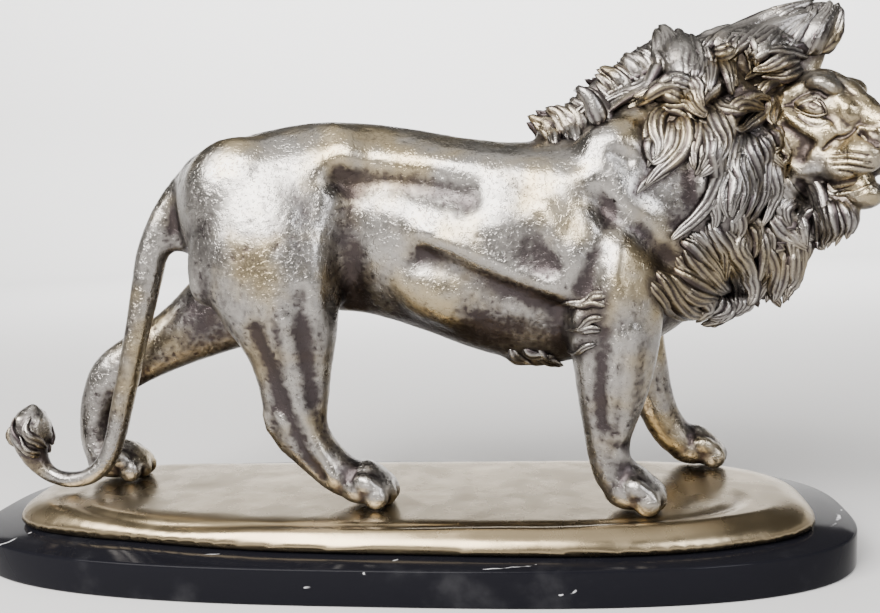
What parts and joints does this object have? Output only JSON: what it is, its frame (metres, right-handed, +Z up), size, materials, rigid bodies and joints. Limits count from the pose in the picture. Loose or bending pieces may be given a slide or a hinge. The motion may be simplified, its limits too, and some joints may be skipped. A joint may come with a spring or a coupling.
{
  "type": "lion figurine",
  "caption": "Walking lion cast in silvered bronze, head turned to its right, on a cast ground plate over a low polished black marble base.",
  "frame": {"origin": "centre of the marble base's flat underside", "axes": "+X the way the lion walks, +Y its left side, away from the camera, +Z up"},
  "size_m": [0.4521, 0.1682, 0.261],
  "materials": {
    "lion": "silvered cast bronze, worn bright on the high places, with dark purplish-brown patina in the hollows",
    "ground_plate": "satin champagne-silver cast plate with a bright rounded edge",
    "marble_base": "polished black marble with thin white and grey veins"
  },
  "bodies": {
    "root": {"lion": "lion", "ground_plate": "ground_plate", "marble_base": "marble_base"}
  },
  "joints": []
}
